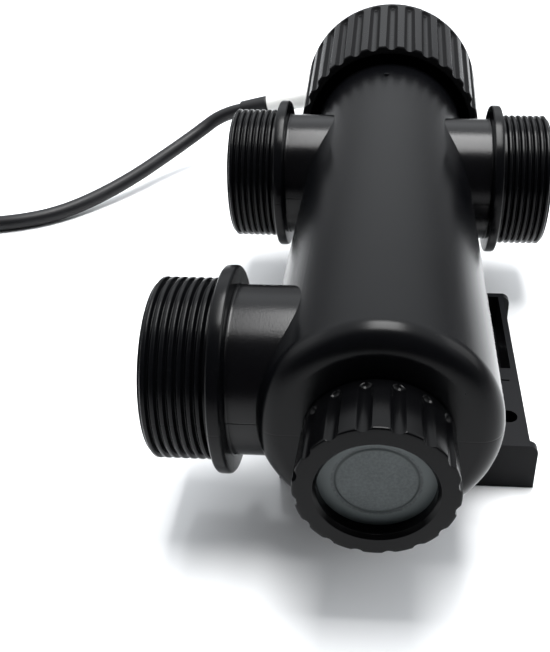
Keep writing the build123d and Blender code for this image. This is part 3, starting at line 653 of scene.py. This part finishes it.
def clamp_collar():
    """Wide fluted collar: a thread inside its front, a lip that pulls the head in, a plain back."""
    def radius_at(along):
        share = (along - COLLAR_FRONT) / (COLLAR_BACK - COLLAR_FRONT)
        return COLLAR_FRONT_R + (COLLAR_BACK_R - COLLAR_FRONT_R) * share

    lip_in, lip_out = COLLAR_LIP
    thread = [(radius, along, 0) for radius, along in
              ridges(COLLAR_BORE_R - 0.4, -0.4, MOUTH_PITCH, 212.0, 6)]
    ball_at = COLLAR_BACK - COLLAR_LAND
    outline = soft([
        (COLLAR_BORE_R + 1, COLLAR_FRONT, 0.4), (COLLAR_FRONT_R - 2.2, COLLAR_FRONT, 0),
        (COLLAR_FRONT_R, COLLAR_FRONT, 1.0), *stretch(COLLAR_FRONT + 2, ball_at - 1, radius_at, 4.0),
        *stretch(ball_at - 0.5, COLLAR_BACK - 1.4, radius_at, 0.3), (COLLAR_BACK_R, COLLAR_BACK, 1.0),
        (COLLAR_BACK_BORE_R, COLLAR_BACK, 0.4), (COLLAR_BACK_BORE_R, lip_out, 0.6),
        (COLLAR_LIP_R, lip_out, 0.4), (COLLAR_LIP_R, lip_in, 0.2), (COLLAR_BORE_R, lip_in, 0.3),
        *thread[::-1],
        (COLLAR_BORE_R + 1, COLLAR_FRONT + 8, 0.4)], steps=4)
    bm = turned(outline, COLLAR_FLUTES * 22)
    cut_flutes(bm, COLLAR_FLUTES, 0, COLLAR_CUTTER_R, COLLAR_BITE, ball_at, radius_at)
    piece = mesh_object(bm, "clamp_collar_fluted", ON_TUBE)
    shade(piece, 40)
    return finish_piece(piece, "clamp_collar", COLLAR_BLACK, "clamp_collar")


def window_disc():
    """Disc with eased rim and a shallow turned groove."""
    groove = WINDOW_GROOVE_R
    face, back = WINDOW_FACE, WINDOW_FACE + WINDOW_THICK
    outline = soft([
        (0, face), (groove - 0.5, face, 0.1), (groove, face + 0.22, 0.1), (groove + 0.5, face, 0.1),
        (WINDOW_R, face, 0.35), (WINDOW_R, back, 0.35), (0, back)], steps=3)
    piece = mesh_object(turned(outline, 128), "window_disc_frosted", ON_TUBE)
    shade(piece, 45)
    return finish_piece(piece, "window_unit", WINDOW, "window_disc")


# ---- cable ------------------------------------------------------------------------------------
def gland_point(reach):
    """A point on the gland's axis, in metres, at a distance in millimetres from the tube's axis."""
    drop = math.radians(GLAND_DROP)
    return (-reach * MM * math.cos(drop), FRONT_Y_M + GLAND_ALONG * MM,
            AXIS_Z_M - reach * MM * math.sin(drop))


ROUTE = [
    gland_point(RELIEF_TIP), gland_point(RELIEF_TIP + 11), (-0.1028, 0.2002, 0.0172),
    (-0.1170, 0.1820, 0.0112), (-0.1304, 0.1596, 0.0074), (-0.1451, 0.1404, 0.0045),
    (-0.1587, 0.1260, 0.0035), (-0.1755, 0.1171, 0.0035), (-0.1931, 0.1138, 0.0035),
    (-0.2090, 0.1132, 0.0035),
]
COIL_X, COIL_Y, COIL_MID_R = -0.225, 0.0675, 0.0385
TAIL = [
    (-0.2707, 0.0675, 0.0170), (-0.2712, 0.0550, 0.0155), (-0.2700, 0.0410, 0.0105),
    (-0.2640, 0.0270, 0.0074), (-0.2540, 0.0160, 0.0069), (-0.2410, 0.0105, 0.0069),
    (-0.2280, 0.0105, 0.0069),
]


def coil_turns():
    """Points of the coil: three turns on the floor, three on them, then one and a quarter on top."""
    aside, up = 0.0072, 0.0070
    columns = [1, 0, -1, -1, 0, 1, 0, 1, 1]
    layers = [0, 0, 0, 1, 1, 1, 2, 2, 2]
    points, points_each = [], 16
    for step in range(1, 7 * points_each + 4):
        turn, share = divmod(step / points_each, 1)
        turn = int(turn)
        shift = min(1.0, max(0.0, (share - 0.62) / 0.38))
        shift = shift * shift * (3 - 2 * shift)
        column = columns[turn] + (columns[turn + 1] - columns[turn]) * shift
        layer = layers[turn] + (layers[turn + 1] - layers[turn]) * shift
        angle = math.pi / 2 + math.tau * share
        wander = 0.00035 * math.sin(2.3 * step) + 0.0003 * math.sin(0.7 * step + turn)
        radius = COIL_MID_R + aside * column + wander
        points.append((COIL_X + radius * math.cos(angle), COIL_Y + radius * math.sin(angle),
                       CABLE_R * MM + up * layer))
    return points


def mains_cable():
    """One curve through the route, the coil and the tail."""
    points = ROUTE + coil_turns() + TAIL
    curve = bpy.data.curves.new("mains_cable_line", "CURVE")
    curve.dimensions = "3D"
    spline = curve.splines.new("NURBS")
    spline.points.add(len(points) - 1)
    for knot, point in zip(spline.points, points):
        knot.co = (*point, 1)
    spline.order_u = 3
    spline.use_endpoint_u = True
    spline.resolution_u = 8
    curve.bevel_depth = CABLE_R * MM
    curve.bevel_resolution = 6
    curve.use_fill_caps = True
    cable = bpy.data.objects.new("mains_cable_line", curve)
    bpy.context.scene.collection.objects.link(cable)
    finish_piece(cable, "lamp_head", SHEATH_RUBBER, "mains_cable", "mains_cable_coil",
                 "mains_cable_tail")
    return cable


# ---- stage ------------------------------------------------------------------------------------
def white_floor():
    """Wide sheet of white paper under the object."""
    bm = bmesh.new()
    bmesh.ops.create_grid(bm, x_segments=1, y_segments=1, size=9.0)
    floor = mesh_object(bm, "white_floor", Matrix.Translation((0, 0, -0.0002)))
    material = bpy.data.materials.new("white paper")
    material.use_nodes = True
    shader = material.node_tree.nodes["Principled BSDF"]
    shader.inputs["Base Color"].default_value = (0.92, 0.93, 0.94, 1)
    shader.inputs["Roughness"].default_value = 0.13
    floor.data.materials.append(material)


def softbox(name, place, aim, width, height, power):
    """A rectangular light that faces a point."""
    light = bpy.data.lights.new(name, "AREA")
    light.shape, light.size, light.size_y, light.energy = "RECTANGLE", width, height, power
    box = bpy.data.objects.new(name, light)
    bpy.context.scene.collection.objects.link(box)
    box.location = place
    box.rotation_euler = (Vector(aim) - Vector(place)).to_track_quat("-Z", "Y").to_euler()


def studio():
    """White sweep behind and beside the object, a softbox overhead, a dark room behind the camera."""
    world = bpy.data.worlds.new("studio")
    bpy.context.scene.world = world
    world.use_nodes = True
    n = Nodes(world.node_tree)
    background = world.node_tree.nodes["Background"]
    way = n.add("ShaderNodeSeparateXYZ", {0: n.add("ShaderNodeTexCoord").outputs["Generated"]})
    sideways = n.math("MULTIPLY", n.math("ABSOLUTE", way.outputs["X"]), 0.45)
    behind = n.math("ADD", way.outputs["Y"], sideways)
    tone = n.math("MULTIPLY", n.ramp(behind, -0.25, 0.40), n.ramp(way.outputs["Z"], 0.16, 0.66, 0.17, 1.0))
    world.node_tree.links.new(n.mix(tone, (0.050, 0.050, 0.052, 1), (1.0, 1.03, 1.06, 1)),
                              background.inputs["Color"])
    background.inputs["Strength"].default_value = 1.8
    softbox("top_softbox", (0.05, 0.21, 1.1), (0.05, 0.2099, 0), 0.44, 0.76, 21.0)
    softbox("left_softbox", (-1.3, 0.3, 0.8), (0, 0.05, 0), 0.8, 0.8, 1.5)
    softbox("right_softbox", (1.3, 0.4, 0.7), (0, 0.05, 0), 0.8, 0.8, 4.0)
    bpy.context.scene.view_settings.view_transform = "Standard"


def camera():
    """Looks down at the window end from in front, a little to the right of the tube's axis."""
    data = bpy.data.cameras.new("camera")
    data.sensor_width, data.lens = 36.0, 47.58
    data.shift_x = -0.0997
    data.dof.use_dof = False
    data.clip_start, data.clip_end = 0.01, 60.0
    eye = bpy.data.objects.new("camera", data)
    bpy.context.scene.collection.objects.link(eye)
    yaw, pitch, roll = math.radians(-3.65), math.radians(33.50), math.radians(-0.36)
    ahead = Vector((math.sin(yaw) * math.cos(pitch), math.cos(yaw) * math.cos(pitch), -math.sin(pitch)))
    right = Vector((math.cos(yaw), -math.sin(yaw), 0))
    turn = Matrix.Rotation(roll, 3, -ahead)
    right = turn @ right
    above = right.cross(ahead)
    eye.matrix_world = Matrix.Translation((0.0010, -0.2376, 0.1858)) @ Matrix(
        (right, above, -ahead)).transposed().to_4x4()
    bpy.context.scene.camera = eye


# ---- make everything --------------------------------------------------------------------------
camera()
white_floor()
studio()
cable = mains_cable()
housing()
window_ring()
clamp_collar()
window_disc()
softened("mounting_bracket", "housing", BRACKET_BLACK, 0.45, 3)

CAD_FINISHES = {
    "quartz_sleeve": QUARTZ, "sleeve_support": GREY_PLASTIC, "sleeve_carrier": HEAD_BLACK,
    "sleeve_o_ring": SEAL_RUBBER, "sleeve_nut": GREY_PLASTIC, "saddle_screws": STEEL,
    "window_gasket": SEAL_RUBBER, "head_body": HEAD_BLACK, "head_o_ring": SEAL_RUBBER,
    "slip_ring": GREY_PLASTIC, "end_cover": HEAD_BLACK, "end_cover_gasket": SEAL_RUBBER,
    "end_cover_screws": STEEL, "lamp_holder": WHITE_PLASTIC, "lamp_holder_screws": STEEL,
    "ballast_board": BOARD, "ballast_parts": COMPONENTS, "board_pillars": GREY_PLASTIC,
    "terminal_block": WHITE_PLASTIC, "lamp_leads": LEAD_PLASTIC, "gland_body": GLAND_WHITE,
    "gland_locknut": GLAND_WHITE, "gland_seal": SEAL_RUBBER, "gland_nut": GLAND_WHITE,
    "strain_relief": BOOT_RUBBER, "cable_end": SHEATH_RUBBER, "coil_tie": BOOT_RUBBER,
    "plug_relief": PLUG_RUBBER, "plug_body": PLUG_RUBBER, "plug_pins": BRASS,
    "lamp_tubes": LAMP_QUARTZ, "lamp_base": WHITE_PLASTIC, "lamp_pins": BRASS,
}
for node, material in CAD_FINISHES.items():
    cad = frame["nodes"][node]
    cad.data.materials.clear()
    cad.data.materials.append(material)
